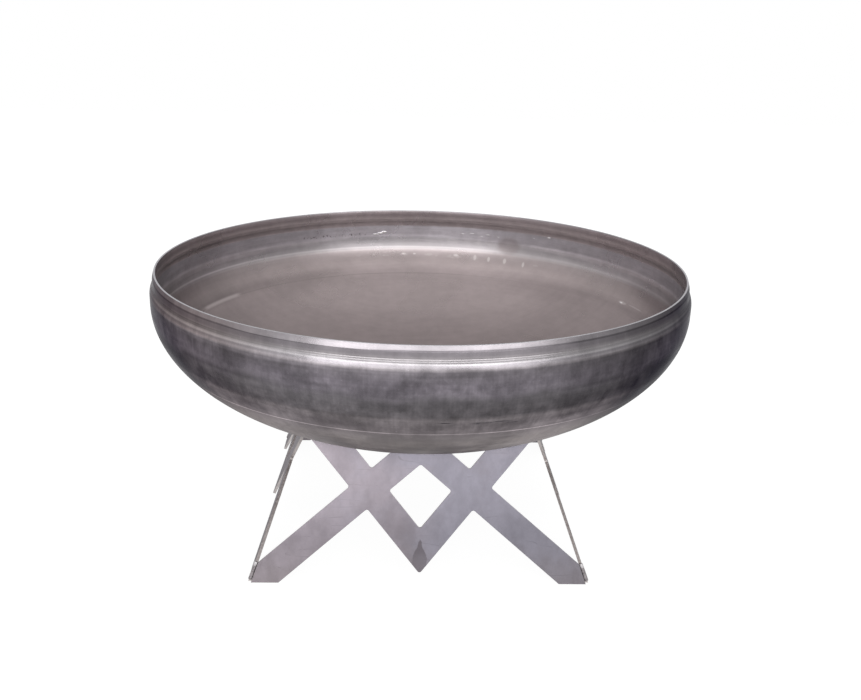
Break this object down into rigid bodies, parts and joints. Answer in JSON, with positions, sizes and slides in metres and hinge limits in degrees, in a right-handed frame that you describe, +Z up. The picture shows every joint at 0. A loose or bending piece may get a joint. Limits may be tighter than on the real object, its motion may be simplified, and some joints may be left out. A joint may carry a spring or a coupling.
{
  "type": "fire pit",
  "caption": "Round dished steel fire bowl with a stepped rim, resting in a square base of leaning flat plates cut as crossed strips.",
  "frame": {"origin": "on the ground, on the bowl's vertical axis, in the middle of the square base", "axes": "+Z up along the bowl's axis; +X across the front to the right; -Y faces the side that the picture shows"},
  "size_m": [0.9144, 0.9144, 0.4663],
  "materials": {
    "bowl_steel": "bare hot-rolled steel with mill scale, satin",
    "base_steel": "bare hot-rolled plate, blue-grey mill scale, satin",
    "weld_steel": "as welded, lightly rippled"
  },
  "bodies": {
    "base": {"panel_front": "base_steel", "panel_right": "base_steel", "panel_rear": "base_steel", "panel_left": "base_steel", "weld_foot_front_right": "weld_steel", "weld_foot_rear_right": "weld_steel", "weld_foot_rear_left": "weld_steel", "weld_foot_front_left": "weld_steel", "weld_top_front_right": "weld_steel", "weld_top_rear_right": "weld_steel", "weld_top_rear_left": "weld_steel", "weld_top_front_left": "weld_steel"},
    "bowl": {"bowl": "bowl_steel"}
  },
  "joints": [
    {"name": "bowl_lift", "type": "slide", "parent": "base", "child": "bowl", "axis": [0, 0, 1], "range_m": [0, 0.15]}
  ]
}
